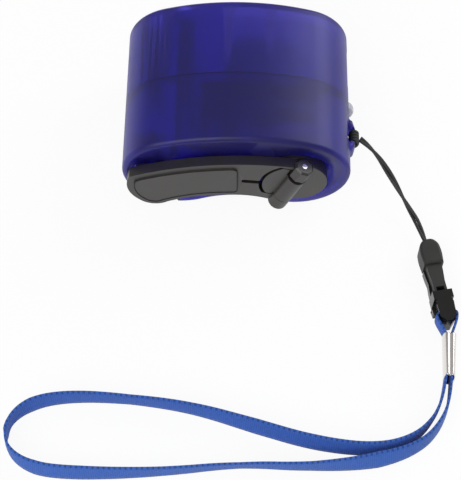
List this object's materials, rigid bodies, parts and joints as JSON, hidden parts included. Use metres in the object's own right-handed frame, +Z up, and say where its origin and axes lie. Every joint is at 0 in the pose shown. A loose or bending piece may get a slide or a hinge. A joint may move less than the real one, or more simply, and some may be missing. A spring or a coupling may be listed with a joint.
{
  "type": "hand crank phone charger",
  "caption": "Bean-section hand crank phone charger with fold-out crank, gearbox and generator, light, USB socket and a wrist strap on a clip.",
  "frame": {"origin": "under the middle of the charger without its cord and strap, on the surface that it stands on", "axes": "+X towards the side with the USB socket, -Y out of the crank face, +Z up through the crown"},
  "size_m": [0.1181, 0.1268, 0.033],
  "materials": {
    "shell": "frosted translucent blue",
    "face": "satin charcoal",
    "black_plastic": "satin",
    "gear_white": "smooth white nylon",
    "gearbox": "fine texture",
    "steel": "bright zinc",
    "can_steel": "drawn, satin",
    "nickel": "bright nickel",
    "brass": "turned",
    "copper": "bare copper",
    "magnet": "sintered",
    "board": "solder mask",
    "lens": "clear epoxy",
    "cell_wrap": "shrink wrap",
    "cord": "braided",
    "ribbon": "woven with a dotted selvage"
  },
  "bodies": {
    "housing": {"front_shell": "shell", "rear_shell": "shell", "case_screws": "steel", "mid_plate": "gearbox", "motor_plate": "gearbox", "gearbox_screws": "steel", "motor_screws": "steel", "first_axle": "steel", "second_axle": "steel", "generator_can": "can_steel", "generator_cap": "gear_white", "generator_magnets": "magnet", "generator_tabs": "brass", "axle_bush": "brass", "circuit_board": "board", "usb_socket": "nickel", "usb_tongue": "black_plastic", "usb_contacts": "brass", "board_capacitor": "can_steel", "board_inductor": "black_plastic", "board_chips": "black_plastic", "led_lens": "lens", "led_legs": "steel", "storage_cell": "cell_wrap", "tether_cord": "cord", "clip_head": "black_plastic"},
    "hub": {"crank_hub": "face", "crank_axle": "steel", "axle_clip": "steel", "crank_gear": "gear_white"},
    "arm": {"crank_arm": "face", "hinge_pin": "steel", "knob_screw": "steel"},
    "finger_knob": {"knob": "face"},
    "first_stage": {"first_gear": "gear_white"},
    "second_stage": {"second_gear": "gear_white"},
    "rotor": {"rotor_core": "can_steel", "rotor_shaft": "steel", "commutator": "copper", "motor_pinion": "brass"},
    "strap": {"clip_body": "black_plastic", "strap_loop": "ribbon", "crimp": "nickel", "wrist_strap": "ribbon"}
  },
  "joints": [
    {"name": "crank_spin", "type": "hinge", "parent": "housing", "child": "hub", "pos_m": [0.0149, -0.02, 0.0152], "axis": [0, 1, 0], "continuous": true},
    {"name": "crank_fold", "type": "hinge", "parent": "hub", "child": "arm", "pos_m": [0.01387, -0.02275, 0.01559], "axis": [0.3584, 0, 0.9336], "range_deg": [0, 180]},
    {"name": "knob_spin", "type": "hinge", "parent": "arm", "child": "finger_knob", "pos_m": [-0.0245, -0.018, 0.0151], "axis": [0, 1, 0], "continuous": true},
    {"name": "first_gear_spin", "type": "hinge", "parent": "housing", "child": "first_stage", "pos_m": [0.00253, -0.011, 0.0176], "axis": [0, 1, 0], "continuous": true},
    {"name": "second_gear_spin", "type": "hinge", "parent": "housing", "child": "second_stage", "pos_m": [0.01402, -0.005, 0.01599], "axis": [0, 1, 0], "continuous": true},
    {"name": "rotor_spin", "type": "hinge", "parent": "housing", "child": "rotor", "pos_m": [0.00523, 0.005, 0.02192], "axis": [0, 1, 0], "continuous": true},
    {"name": "clip_release", "type": "slide", "parent": "housing", "child": "strap", "axis": [0.1857, -0.9826, 0], "range_m": [0, 0.012]}
  ],
  "couplings": [
    {"joint": "first_gear_spin", "follows": "crank_spin", "ratio": -4},
    {"joint": "second_gear_spin", "follows": "crank_spin", "ratio": 14.4},
    {"joint": "rotor_spin", "follows": "crank_spin", "ratio": -46.08}
  ]
}
